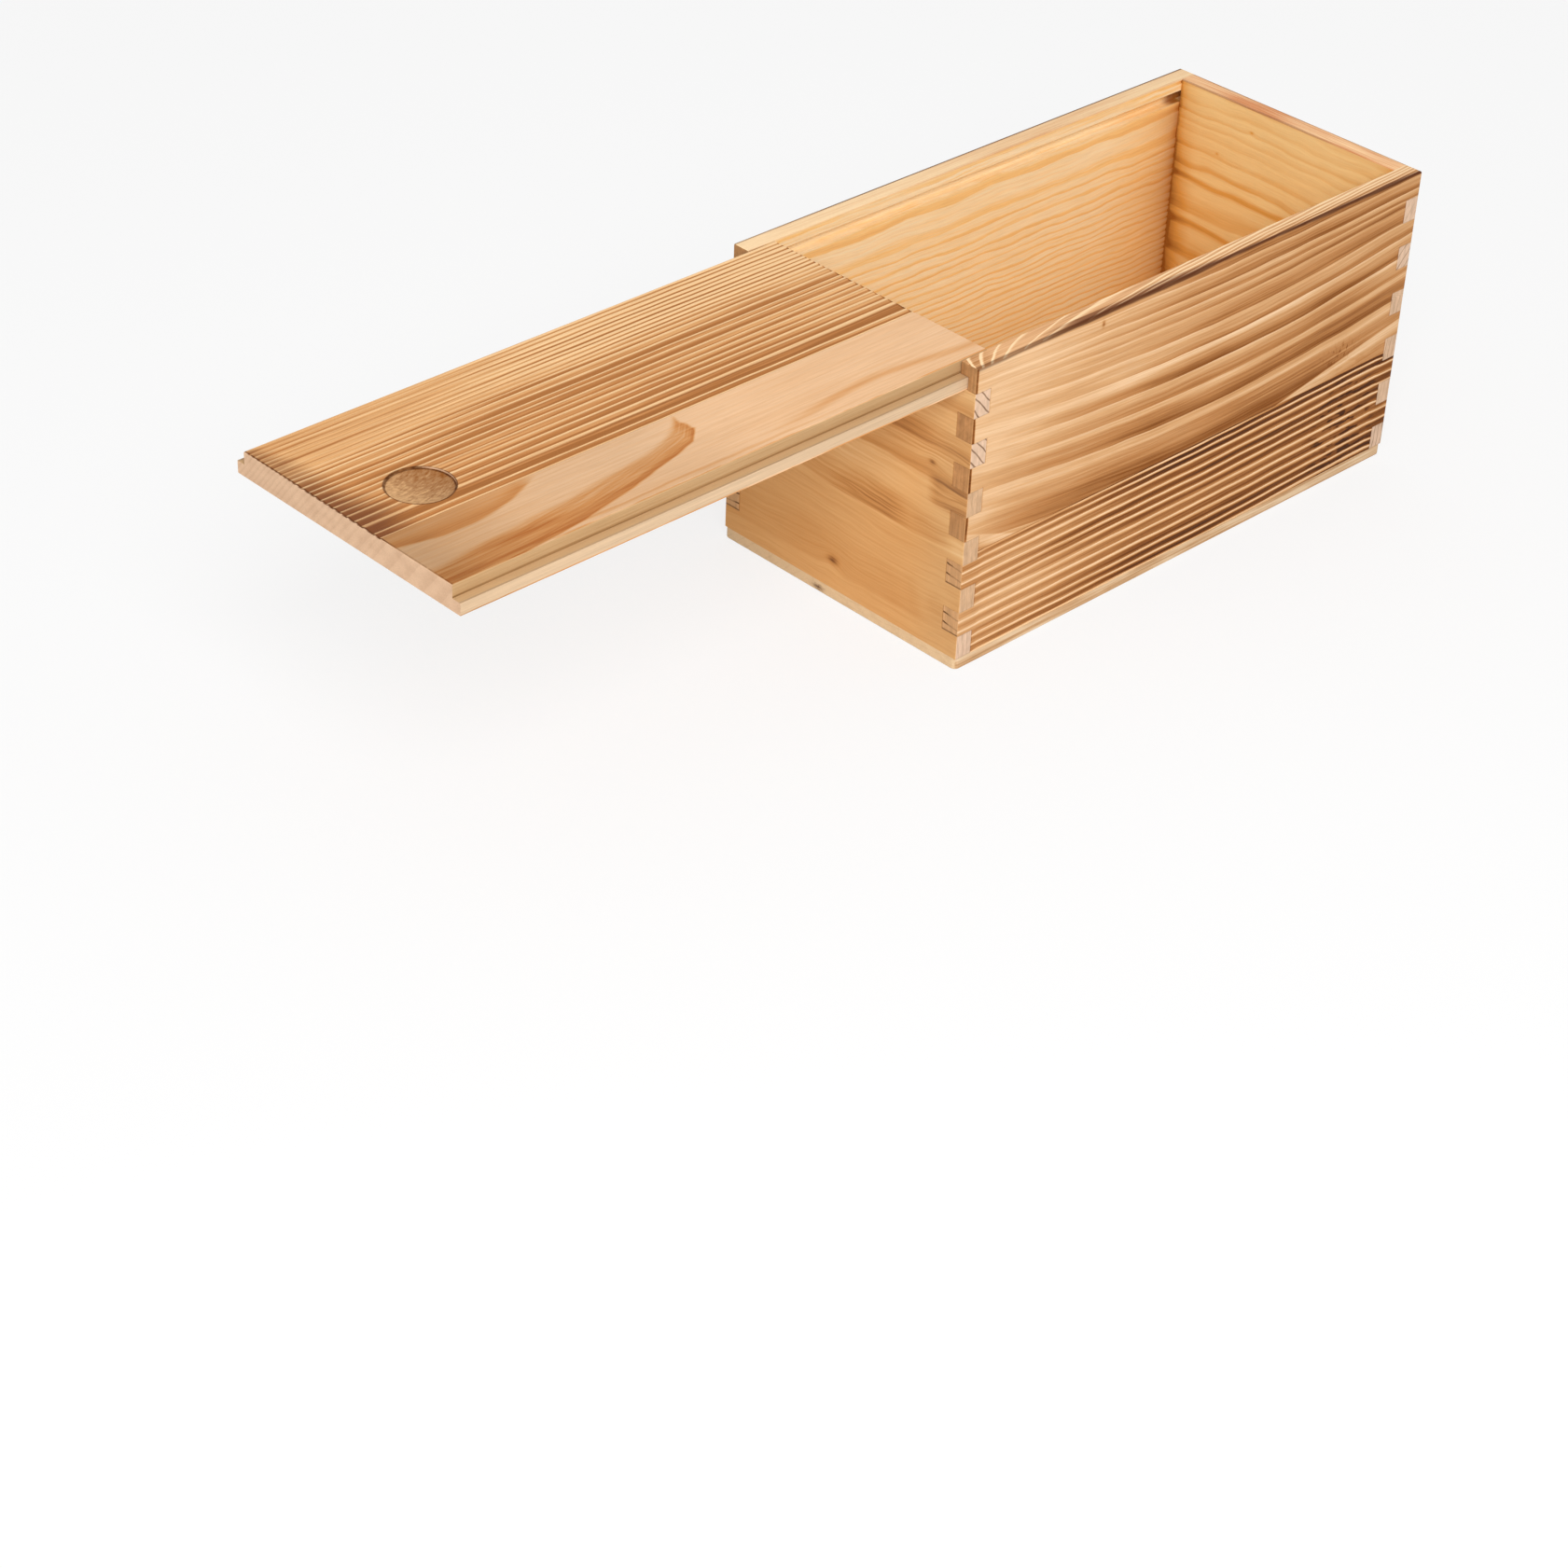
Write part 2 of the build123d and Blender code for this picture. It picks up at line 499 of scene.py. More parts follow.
def dress(board, look, body):
    """Puts a brushed board with its own wood in the place of a CAD node."""
    cell = FACE_CELL
    piece = bpy.data.objects.new(board.node + "_wood", board_mesh(board, cell))
    bpy.context.scene.collection.objects.link(piece)
    tree, identifiers = relief_tree(board)
    relief = piece.modifiers.new("Relief", "NODES")
    relief.node_group = tree
    relief[identifiers["Relief depth"]] = look.relief_depth
    relief[identifiers["Wood"]] = board.wood(look)
    state = bpy.context.evaluated_depsgraph_get()
    flat = piece.data
    made = bpy.data.meshes.new_from_object(piece.evaluated_get(state))
    piece.modifiers.remove(relief)
    piece.data = made
    bpy.data.meshes.remove(flat)
    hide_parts(board.node)
    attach(piece, body)


class SideWall(Board):
    """Long wall. Outside it is burned and brushed, inside it is plain; the right one has a glued seam."""

    def __init__(self, node, outward, seed, seam):
        inward = "-" if outward == "+" else "+"
        super().__init__(node, along="+y", across="-z", through=inward + "x")
        self.seed = seed
        self.seam = seam

    def bow(self, graph, u, v):
        """How far a line has risen above its middle, which is lowest."""
        out = u - BOW_CENTRE
        return out * out * SIDE_BOW * (0.35 + 0.65 * graph.smooth(v, 0.0, 26.0))

    def rings(self, graph, place):
        u, v, w = place
        drift = graph.noise(place, (140, 40, 30), self.seed) * 3.0
        ripple = graph.noise(place, (26, 8, 8), self.seed + 4) * 1.1
        wide = v + w * 0.9 + self.bow(graph, u, v) + drift + ripple
        rise = graph.smooth(u, 130.0, 260.0) * 2.0
        narrow = v + w * 0.4 + drift * 0.4 + ripple * 0.8 + rise
        upper = line_count(graph, wide, SIDE_LINES)
        lower = line_count(graph, narrow, LOWER_LINES) + len(SIDE_LINES)
        below = graph.math("GREATER_THAN", v, self.seam)
        return Rings(graph, upper + (lower - upper) * below, wide + (narrow - wide) * below, self.seed)

    def brushed(self, graph, place):
        u, v, w = place
        clear_of_fingers = graph.between(u, FINGER + 1.5, self.length - FINGER - 1.5, 1.5)
        below = graph.math("GREATER_THAN", v, self.seam)
        return clear_of_fingers * (0.3 + 0.7 * below) * graph.smooth(v, 0.3, 2.0)

    def upper_shade(self, graph, place, rings, cloud, streak):
        """How dark the wood is from 0 for pale to 1 for char, where the years are wide."""
        u, v, w = place
        darkening = graph.smooth(u + v * 0.7, 10.0, 165.0)
        late = graph.smooth(rings.part, 0.06, 0.36) * 0.5 + graph.smooth(rings.part, 0.35, 0.99) * 0.5
        shade = 0.1 + darkening * 0.08 + graph.smooth(u, 120.0, 240.0) * 0.04 + cloud * 0.12
        shade += streak * (0.36 + darkening * 0.24)
        shade += late * rings.strength * (0.06 + darkening * 0.46 + cloud * 0.26)
        shade += graph.between(rings.across, 54.0, 65.0, 2.5) * 0.07
        shade -= graph.smooth(u, 222.0, 250.0) * graph.smooth(v, 28.0, 40.0) * 0.08
        shade -= graph.between(rings.across, 29.0, 41.0, 2.5) * graph.smooth(u, 50.0, 95.0) * 0.12
        shade += graph.between(rings.across, 15.0, 27.0, 2.0) * graph.smooth(u, 110.0, 150.0) * 0.1
        bands = graph.noise(rings.along(place), (170, 2.0, 2.0), self.seed + 27, detail=2)
        shade += bands * (0.2 + darkening * 0.2)
        flame = graph.smooth(v + self.bow(graph, u, v), 66.0, 70.0) * graph.between(u, 16.0, 214.0, 12.0)
        shade += flame * 0.11
        if self.seam > self.width:
            return shade
        past_edge = v - graph.least(70.0 + u * 0.36, 79.2 - (u - 188.0) * 0.18)
        next_year = 0.12 + graph.smooth(past_edge, 2.0, 8.0) * 0.3 + streak * 0.6
        return shade + (next_year - shade) * graph.smooth(past_edge, -0.4, 0.5)

    def lower_shade(self, graph, place, rings, cloud, streak):
        """The same below the seam, where the years are narrow and the troughs are burned."""
        u, v, w = place
        burned = 0.56 + graph.smooth(u, 4.0, 130.0) * 0.48 + graph.smooth(u, 150.0, 215.0) * 0.06
        burned += cloud * 0.4 - graph.between(v, 103.0, 116.0, 2.0) * 0.14
        burned += graph.smooth(v, 115.0, 120.0) * 0.16
        trough = graph.smooth(rings.part, 0.06, 0.3) * (1.0 - 0.32 * graph.smooth(rings.part, 0.74, 0.98))
        return 0.02 + trough * (0.3 + rings.strength * 0.7) * burned * 0.9 + streak * 0.7

    def burned_spots(self, graph, place, rings):
        """Dark dashes in the troughs near the back end, and a few small marks above the seam."""
        dashes = graph.smooth(graph.noise(place, (8, 2.2, 3), self.seed + 31, detail=2), -0.02, 0.12)
        trough = rings.line(0.1, 0.3, 0.85)
        where = graph.mound(place, (229.0, 106.0), (17.0, 22.0)) * trough
        marks = graph.smooth(graph.noise(place, (1.4, 4.0, 3), self.seed + 33), 0.05, 0.2)
        above = graph.mound(place, (222.0, 69.0), (9.0, 4.0)) * marks * 0.6
        return graph.most(dashes * where, above) * graph.math("LESS_THAN", self.seam, self.width)

    def outer_colour(self, graph, place, rings, look):
        u, v, w = place
        cloud = graph.noise(place, (60, 14, 14), self.seed + 21, detail=2)
        streak = graph.noise(rings.along(place), (55, 0.9, 0.9), self.seed + 23, detail=4, roughness=0.62)
        below = graph.math("GREATER_THAN", v, self.seam)
        upper = self.upper_shade(graph, place, rings, cloud, streak)
        lower = self.lower_shade(graph, place, rings, cloud, streak)
        shade = upper + (lower - upper) * below
        seam = graph.smooth(abs(v - self.seam), 0.55, 0.1)
        end_arris = graph.smooth(u + cloud * 1.5, 1.5, 0.6) * graph.smooth(v, 84.0, 68.0)
        shade += self.burned_spots(graph, place, rings) * 0.55
        shade += graph.mound(place, (68.7, 4.8), (0.8, 1.3)) * 0.45
        glued = graph.most(seam * 0.35, self.socket_line(graph, place) * 0.22)
        shade += graph.most(glued, end_arris * 0.7)
        return graph.ramp(shade, look.pale, look.tan, look.brown, look.dark, look.char)

    def inner_colour(self, graph, place, look):
        u, v, w = place
        wave = graph.noise(place, (28, 12, 10), self.seed + 15) * 4.2
        wave += graph.noise(place, (8, 5, 5), self.seed + 17) * 0.9
        across = v + wave + w * 0.3
        rings = Rings(graph, line_count(graph, across, INNER_LINES), across, self.seed + 9)
        line = rings.line(0.5, 0.9, 0.94)
        streak = graph.noise(rings.along(place), (45, 1.0, 1.0), self.seed + 43, detail=3)
        lower_down = graph.smooth(v, 15.0, 125.0)
        shade = 0.1 + line * rings.strength * (0.34 + lower_down * 0.1) + lower_down * 0.05 + streak * 0.46
        above_groove = graph.smooth(v, 12.0, 9.0)
        shade += above_groove * (streak * 0.5 - 0.03) + graph.smooth(u, 200.0, 240.0) * 0.09
        # Painted shade in the inner corners: the lines darken within a few mm of each corner, and below the
        # groove the wood blends toward Deep over 10 to 16 mm, less so low down. The thin dark line right at
        # the corner is the glue line.
        to_corner = self.to_end(graph, place) - FINGER
        shade += graph.smooth(to_corner, 0.9, 0.2) * 0.35
        shade += graph.smooth(to_corner, 4.5, 0.5) * graph.smooth(rings.part, 0.35, 0.6) * 0.24
        colour = graph.ramp(shade, look.honey, look.amber, look.orange, look.deep)
        reach = 10.0 + graph.smooth(v, 25.0, 50.0) * 6.0
        strongest_corner_shade = 0.75 - graph.smooth(v, 50.0, 80.0) * 0.14
        darkening = graph.math("EXPONENT", to_corner / reach * -1.0) * strongest_corner_shade
        colour = graph.blend(colour, look.deep, darkening * graph.smooth(v, 9.0, 13.0))
        # Painted shade: the last few mm of the groove, at the back wall, blended toward Deep.
        in_groove = graph.smooth(w, 7.6, 6.8) * graph.between(v, GROOVE[0] - 0.3, GROOVE[1] + 0.3, 0.2)
        painted_groove_end_shade = in_groove * graph.smooth(u, 243.0, 250.0)
        return graph.blend(colour, look.deep, painted_groove_end_shade * 0.85)

    def end_colour(self, graph, place, look):
        """Brown fingers at the top and lighter ones below, the lowest two with dark dashes."""
        u, v, w = place
        lighter = graph.smooth(v, 60.0, 100.0) * 0.75
        colour = graph.blend(super().end_colour(graph, place, look), look.end_light, lighter)
        upright = graph.noise(place, (9, 16, 0.9), self.seed + 87, detail=2)
        mottled = graph.noise(place, (4, 4.5, 4), self.seed + 89, detail=2) * graph.smooth(v, 74.0, 60.0)
        colour = graph.scaled(colour, 1.0 + upright * 0.7 + mottled * 0.7)
        broken = graph.noise(place, (3, 3.0, 1.6), self.seed + 85)
        part = graph.math("FRACT", (v + w * 0.12) / 4.35 + 0.54)
        lowest = graph.smooth(v, 81.0, 83.0)
        dash = graph.smooth(abs(part - 0.5 + broken * 0.12), 0.12, 0.04) * lowest
        blackened = 0.3 + graph.smooth(w + broken * 3, 3.5, 7.0) * 0.6
        colour = graph.blend(colour, look.char, dash * blackened)
        finger_foot = graph.smooth(graph.math("FRACT", v / (2 * FINGER_HEIGHT)), 0.455, 0.48)
        return graph.blend(colour, look.char, finger_foot * lowest * 0.6)

    def rim_colour(self, graph, place, look):
        """Top of the rim, where the lines sweep across at the front and then run along."""
        u, v, w = place
        streak = graph.noise(place, (45, 2, 0.6), self.seed + 51, detail=3)
        patchy = graph.noise(place, (26, 4, 2.5), self.seed + 55, detail=2)
        if self.seam > self.width:
            shade = 0.04 + streak * 0.9 + patchy * 0.3 + graph.smooth(w, 1.2, 0.3) * 0.3
            shade += graph.smooth(u, 50.0, 170.0) * 0.22 - graph.smooth(u, 195.0, 235.0) * 0.12
            return graph.ramp(shade, look.pale_rim, look.rim, look.brown)
        wander = graph.noise(place, (20, 4, 4), self.seed + 53) * 1.2
        sweep = graph.math("LOGARITHM", 1.0 + graph.most(u, 0.0) / 4.0, math.e) * 11.0
        part = graph.math("FRACT", line_count(graph, sweep - w + wander, RIM_LINES))
        far_back = graph.smooth(u, 30.0, 110.0)
        front = graph.smooth(u, 17.0, 4.0)
        width = 0.32 + far_back * 0.4 + front * 0.16
        fades_from = 0.1 + far_back * 0.15 + front * 0.1
        line = graph.smooth(part, 0.0, 0.07) * graph.smooth(part, width, fades_from)
        outer = graph.smooth(w, 5.0, 0.5) * graph.smooth(u, 25.0, 70.0)
        shade = 0.37 + far_back * 0.08 + front * 0.19 + streak * 0.7 + outer * 0.28
        shade -= graph.smooth(u, 180.0, 230.0) * graph.smooth(w, 3.0, 6.0) * 0.1
        shade -= line * (0.36 + far_back * 0.1 + front * 0.26)
        colour = graph.ramp(shade, look.pale_rim, look.rim, look.brown, look.dark)
        reach = 3.8 - graph.smooth(u, 105.0, 150.0) * 1.9
        scorched = graph.smooth(w + patchy * 4, reach, reach - 1.4) * graph.smooth(u, 34.0, 60.0)
        return graph.blend(colour, look.rim_soot, scorched * (0.75 - line * 0.3))

    def wood_colour(self, graph, place, normal, look):
        u, v, w = place
        rings = self.rings(graph, place)
        outside = self.outer_colour(graph, place, rings, look)
        inside = self.inner_colour(graph, place, look)
        colour = graph.blend(outside, inside, graph.smooth(w, 1.6, 2.6))
        colour = graph.blend(colour, self.rim_colour(graph, place, look), self.on_rim(graph, place))
        patchy = graph.noise(place, (24, 4, 1.5), self.seed + 57, detail=2)
        thinner = graph.smooth(u, 105.0, 150.0) * 0.7
        arris = graph.smooth(v + patchy * 1.6 + thinner, 2.1, 0.9) * graph.smooth(w, 1.6, 0.6)
        arris *= 0.65 + 0.25 * graph.smooth(u, 10.0, 60.0)
        return rings, graph.blend(colour, look.soot, arris)


class ShortWall(Board):
    """Front or back wall of honey-coloured wood, with knots."""

    fibre_shade = 0.22
    first_finger = 1
    browning = 0.4               # how brown its middle fingers are
    inner_bands = ()
    drift, drift_grain = 9, (60, 40, 20)
    ripple, ripple_grain = 2.4, (16, 8, 8)

    def __init__(self, node, through, seed, lines, knots):
        super().__init__(node, along="+x", across="-z", through=through)
        axis, sense, start = self.measures[ACROSS]
        self.measures[ACROSS] = (axis, sense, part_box("side_wall_left")[1].z)
        self.seed = seed
        self.lines = lines
        self.knots = knots

    def line_clarity(self, graph, place):
        finger = graph.math("FLOOR", place[ACROSS] / FINGER_HEIGHT)
        return 0.2 + graph.chance(finger, self.seed + 87) * 0.5

    def end_colour(self, graph, place, look):
        """Sawn ends of the fingers, mottled and browner half way down."""
        u, v, w = place
        browner = graph.between(v, 48.0, 106.0, 4.0) * self.browning
        colour = graph.blend(super().end_colour(graph, place, look), look.honey, browner * 0.4)
        mottled = graph.noise(place, (9, 5, 1.2), self.seed + 95, detail=2)
        return graph.scaled(colour, 1.0 - browner * 0.15 + mottled * 0.55)

    def brushed(self, graph, place):
        return graph.between(place[ALONG], FINGER + 1.0, self.length - FINGER - 1.0, 1.0)

    def figure(self, graph, place, rings, cloud, streak, contrast=1.0):
        """How dark the wood is, from 0 for pale to 1 for a knot."""
        line = rings.line(0.3, 0.86, 0.93)
        marks = line * rings.strength * 0.26 + cloud * 0.25 + streak * 0.25
        return 0.25 + marks * contrast + streak * 0.2

    def knot_shade(self, graph, place, streak):
        """How much darker the wood is at its knots."""
        shade = 0.0
        for along, down, size in self.knots:
            shade += graph.mound(place, (along, down), (size * 0.8, size * 0.5))
        return shade * (0.4 + streak)

    def wood_colour(self, graph, place, normal, look):
        u, v, w = place
        rings = self.rings(graph, place)
        cloud = graph.noise(place, (40, 16, 16), self.seed + 21, detail=2)
        streak = graph.noise(rings.along(place), (35, 1.1, 1.1), self.seed + 23, detail=3)
        shade = self.figure(graph, place, rings, cloud, streak) + self.knot_shade(graph, place, streak)
        shade += self.socket_line(graph, place) * 0.3
        outer = graph.ramp(shade, look.pale, look.honey, look.orange, look.brown, look.knot)
        inner = self.inner_colour(graph, place, rings, cloud, streak, look)
        return rings, graph.blend(outer, inner, graph.smooth(w, 6.0, 7.0))

    def inner_colour(self, graph, place, rings, cloud, streak, look):
        """Inside of the wall: bright, with soft orange bands and painted shade in the corners."""
        u, v, w = place
        line = rings.line(0.5, 0.86, 0.92)
        clear = 0.5 + graph.smooth(v, 22.0, 38.0) * 0.5
        shade = 0.1 + (line * (0.1 + rings.luck * 0.25) + streak * 0.3) * clear + cloud * 0.25
        shade += graph.smooth(v, 15.0, 115.0) * 0.16
        for down in self.inner_bands:
            shade += graph.smooth(abs(v + cloud * 7 - down), 2.4, 0.3) * 0.4
        shade += self.knot_shade(graph, place, streak)
        # Painted shade: darker towards each inner corner, most within about 2 mm of it, and more from 10 to
        # 45 mm down.
        to_corner = self.to_end(graph, place) - FINGER + cloud * 8
        shade += graph.smooth(to_corner, 14.0, 0.0) * (0.16 + graph.smooth(v, 10.0, 45.0) * 0.3)
        shade += graph.smooth(to_corner, 2.4, 0.4) * 0.4 + graph.smooth(to_corner, 6.0, 1.0) * 0.16
        return graph.ramp(shade, look.inner_pale, look.inner_line, look.inner_dark)


class FrontWall(ShortWall):
    """Wall that the lid passes over. It has swirling bands high up and a pale oval low down."""

    fibre_shade = 0.15
    browning = 1.0

    def line_clarity(self, graph, place):
        return 0.25 + graph.smooth(place[ACROSS], 52.0, 44.0) * 0.65

    def figure(self, graph, place, rings, cloud, streak):
        u, v, w = place
        contrast = 1.0 - graph.smooth(v, 78.0, 84.0) * 0.7
        shade = super().figure(graph, place, rings, cloud, streak, contrast)
        shade += graph.smooth(v, 79.0, 84.0) * 0.11
        swirl = graph.between(v + cloud * 9, 31.0, 46.0, 4.0) * (0.12 + streak * 0.35)
        patch = graph.between(v + cloud * 3, 52.5, 64.0, 1.5) * graph.smooth(u, 108.0, 115.0)
        patch *= 0.33 + streak * 0.5
        band = graph.smooth(v + cloud * 4, 63.0, 80.0) * graph.smooth(v, 81.2, 80.2)
        band *= graph.between(u + cloud * 20, 62.0, 98.0, 8.0) * (0.22 + streak * 0.7)
        pale = graph.mound(place, (127.0, 77.5), (7.0, 3.6)) * 0.26
        oval = graph.mound(place, (116.0, 107.0), (15.0, 12.0))
        far_along, far_across = (u - 118.0) / 1.3, v - 107.0
        from_middle = graph.math("SQRT", far_along * far_along + far_across * far_across)
        arcs = graph.math("SINE", from_middle * 0.7 + cloud * 9) * oval
        return shade + swirl + patch + band - pale - oval * 0.04 + arcs * 0.03

    def wood_colour(self, graph, place, normal, look):
        rings, colour = super().wood_colour(graph, place, normal, look)
        # Painted light: the outside is blended toward a grey-green, a little everywhere and more near the
        # right corner, so that it looks duller and greyer there.
        near_corner = graph.smooth(place[ALONG], 98.0, 122.0)
        outside = graph.smooth(place[THROUGH], 7.0, 6.0)
        return rings, graph.blend(colour, look.faded, (0.04 + near_corner * 0.1) * outside)


class BackWall(ShortWall):
    """Wall that the lid stops against. Its rim is burned along the outer arris and part of the inner one."""

    inner_bands = (42.5, 63.0)

    def wood_colour(self, graph, place, normal, look):
        u, v, w = place
        rings, colour = super().wood_colour(graph, place, normal, look)
        patchy = graph.noise(place, (22, 4, 1.5), self.seed + 57, detail=3)
        streak = graph.noise(place, (30, 4, 0.7), self.seed + 59, detail=3)
        warm = graph.mound((u, v * 0.0), (47.0, 0.0), (17.0, 1.0)) * 0.6
        rim = graph.ramp(0.3 + warm + streak * 1.8 + patchy * 1.2, look.rim, look.rim_line)
        colour = graph.blend(colour, rim, self.on_rim(graph, place))
        outer_arris = graph.smooth(w + patchy * 2, 1.5, 0.4) * graph.smooth(v, 1.8, 0.7) * 0.5
        inner_arris = graph.smooth(w + patchy, 7.1, 7.7) * graph.smooth(v, 0.9, 0.5)
        inner_arris *= graph.smooth(u, 104.0, 72.0)
        return rings, graph.blend(colour, look.soot, graph.most(outer_arris, inner_arris * 0.42))


class BottomPanel(Board):
    """Thin pale panel, sanded and not burned."""

    jointed = False
    seed = 9.3
    lines = BOTTOM_LINES
    slant = 1.6
    drift, drift_grain = 10, (140, 50, 20)
    ripple, ripple_grain = 1.5, (30, 10, 10)

    def __init__(self, node):
        super().__init__(node, along="+y", across="+x", through="+z")

    def brushed(self, graph, place):
        return graph.between(place[ACROSS], 1.0, self.width - 1.0, 1.0)

    def wood_colour(self, graph, place, normal, look):
        u, v, w = place
        rings = self.rings(graph, place)
        streak = graph.noise(place, (60, 1.4, 1.0), self.seed + 23, detail=3)
        cloud = graph.noise(place, (25, 10, 6), self.seed + 25, detail=2)
        line = rings.line(0.35, 0.85, 0.92)
        shade = 0.22 + line * rings.strength * 0.4 + streak * 2.2 + cloud * 1.2
        colour = graph.ramp(shade, look.pale, look.tan, look.brown)
        upward = graph.smooth(self.facing(graph, normal, THROUGH), 0.5, 0.9)
        return rings, graph.blend(colour, graph.ramp(shade, look.inner_pale, look.inner_line), upward)

    def end_colour(self, graph, place, look):
        """Sawn ends, the front one with a dark flaw."""
        u, v, w = place
        ragged = graph.noise(place, (1.6, 1.6, 0.8), self.seed + 27)
        flaw = graph.mound((v, w + ragged * 2), (FLAW_FROM_LEFT, 2.0), (2.8, 0.9))
        flaw *= graph.smooth(u, 1.2, 0.4)
        return graph.blend(super().end_colour(graph, place, look), look.dark, flaw * 0.9)


class Lid(Board):
    """Lid. Most of it is straight-grained and brushed; the rest is plain, with two warm flames."""

    jointed = False
    seed = 5.7
    lines = LID_LINES
    drift, drift_grain = 1.6, (200, 60, 30)
    ripple, ripple_grain = 0.7, (30, 6, 6)

    def __init__(self, node):
        super().__init__(node, along="-y", across="+x", through="-z")
        axis, sense, start = self.measures[ACROSS]
        self.measures[ACROSS] = (axis, sense, start + TONGUE * MILLIMETRE)
        self.width -= 2 * TONGUE

    def striped(self, graph, place):
        """1 in the straight-grained part."""
        return graph.smooth(place[ACROSS], STRIPES_END + 0.5, STRIPES_END - 0.1)

    def past_field(self, place):
        """How far a place is outside the sides of the raised field; less than 0 inside them."""
        return abs(place[ACROSS] - self.width / 2) - self.width / 2

    def recess_distance(self, graph, place):
        """How far a place is from the middle of the thumb recess, along the face."""
        along = place[ALONG] - (self.length - THUMB_FROM_FRONT)
        across = place[ACROSS] - self.width / 2
        return graph.math("SQRT", along * along + across * across)

    def end_colour(self, graph, place, look):
        """The sawn end shows the same yearly lines as the top, slanting through the board."""
        line = self.rings(graph, place).line(0.3, 0.85, 0.93)
        cloud = graph.noise(place, (5, 8, 5), self.seed + 83, detail=3)
        return graph.blend(look.end_pale, look.end_line, graph.limited(0.05 + line * 0.12 + cloud * 0.5))

    def brushed(self, graph, place):
        u, v, w = place
        distance = self.recess_distance(graph, place)
        off_recess = graph.smooth(distance, THUMB_RADIUS + 0.2, THUMB_RADIUS + 1.5)
        tongue_free = graph.between(v, 0.6, self.width - 0.6, 0.5)
        coarser = 0.35 + 0.65 * graph.smooth(v, 18.0, 40.0)
        return self.striped(graph, place) * off_recess * tongue_free * coarser

    def striped_shade(self, graph, place, rings, cloud, streak):
        """How dark the straight-grained wood is, from 0 for pale to 1 for char."""
        u, v, w = place
        fine = graph.smooth(v, 30.0, 20.0)
        trough = rings.line(0.1 + fine * 0.28, 0.34 + fine * 0.36, 0.88)
        trough *= 0.65 + 0.35 * graph.smooth(rings.part, 0.4, 0.9)
        patchy = graph.noise(rings.along(place), (75, 3, 3), self.seed + 29)
        faded = graph.smooth(v, 34.0, 16.0) * graph.smooth(u, 80.0, 205.0)
        burned = 0.48 + graph.smooth(v, 20.0, 34.0) * 0.06 + graph.smooth(v, 34.0, 62.0) * 0.06
        burned += cloud * 0.25 + patchy * 0.5 - faded * 0.3
        calmer = graph.smooth(u, 120.0, 180.0)
        shade = trough * (0.65 + rings.luck * 0.35) * burned * (1.46 - calmer * 0.24)
        shade += streak * 0.68 + cloud * 0.08 - 0.045 + calmer * 0.055
        shade += faded * 0.2 + graph.smooth(u, 50.0, 120.0) * graph.smooth(v, 38.0, 48.0) * 0.05
        shade -= graph.smooth(u, 64.0, 8.0) * 0.11
        dashes = graph.smooth(self.to_end(graph, place), 1.3, 0.4)
        shade = graph.least(shade, 0.6) + graph.between(v + cloud, 65.2, 70.5, 1.6) * 0.05
        return shade + dashes * trough * 0.3

    def scorched(self, graph, place, rings, cloud):
        """How far the front end is burned."""
        u, v, w = place
        ragged = graph.noise(rings.along(place), (30, 1.4, 1.4), self.seed + 35, detail=2)
        reach = 9.0 + graph.smooth(v, 4.0, 30.0) * 6.0 + graph.smooth(v, 34.0, 62.0) * 9.0
        from_end = self.length - u + cloud * 8 + ragged * 16
        amount = graph.smooth(from_end, reach, reach * 0.1) * (0.62 + 0.38 * graph.smooth(v, 20.0, 50.0))
        return amount * (0.3 + 0.62 * graph.smooth(rings.part, 0.1, 0.4))

    def long_flame(self, graph, place, wander):
        """Warm patch with a blunt head, darkest along its lower edge."""
        u, v, w = place
        past = graph.most(u - FLAME_HEAD, 0.0)
        curl = 1.0 - graph.math("EXPONENT", past / -11.0)
        top = 77.0 + curl * 13.0 + past * 0.1 + wander * 1.5
        bottom = 92.0 + past * 0.34 - past * past * 0.0013 + wander * 1.5
        bottom = graph.least(bottom, 88.0 + past * 0.95)
        inside = graph.smooth(v, top - 3.0, top + 1.5) * graph.smooth(v, bottom + 0.6, bottom - 0.7)
        inside *= graph.smooth(u + wander * 5, FLAME_HEAD - 0.6, FLAME_HEAD + 1.6)
        near_edge = graph.smooth(bottom - v, 5.5, 0.6)
        near_head = graph.smooth(past, 7.0, 0.5) * 0.2
        lines = graph.noise((past, v - bottom, w), (34, 1.1, 2), self.seed + 63, detail=3)
        fading = 1.0 - 0.6 * graph.smooth(past, 40.0, 110.0)
        thin = graph.mound(place, (214.0, 103.0), (17.0, 1.2)) * 0.4
        return inside * (0.5 + near_edge * fading * 0.26 + near_head + lines * 0.9) + thin

    def short_flame(self, graph, place, wander):
        u, v, w = place
        half_along = (u - 226.0) / 40.0
        edge = STRIPES_END + 12.5 - half_along * half_along * 10.0 + wander * 2
        inside = graph.smooth(v, edge + 0.7, edge - 1.0) * graph.smooth(u, 184.0, 196.0)
        return inside * (0.36 + graph.smooth(edge - v, 7.0, 0.5) * 0.26)

    def soft_bands(self, graph, place, wander):
        """A soft band that curves near the right edge, and a thin line along that edge."""
        u, v, w = place
        arch = graph.mound((u, v * 0.0), (48.0, 0.0), (34.0, 1.0))
        band = graph.smooth(abs(v - 107.0 + arch * 5.5 + wander), 3.2, 0.2) * graph.smooth(u, 112.0, 70.0)
        edge = graph.smooth(abs(v - self.width + 3.0 + wander * 2), 1.1, 0.2)
        edge *= graph.smooth(u, 40.0, 120.0)
        return graph.most(band * 0.36, edge * 0.3)

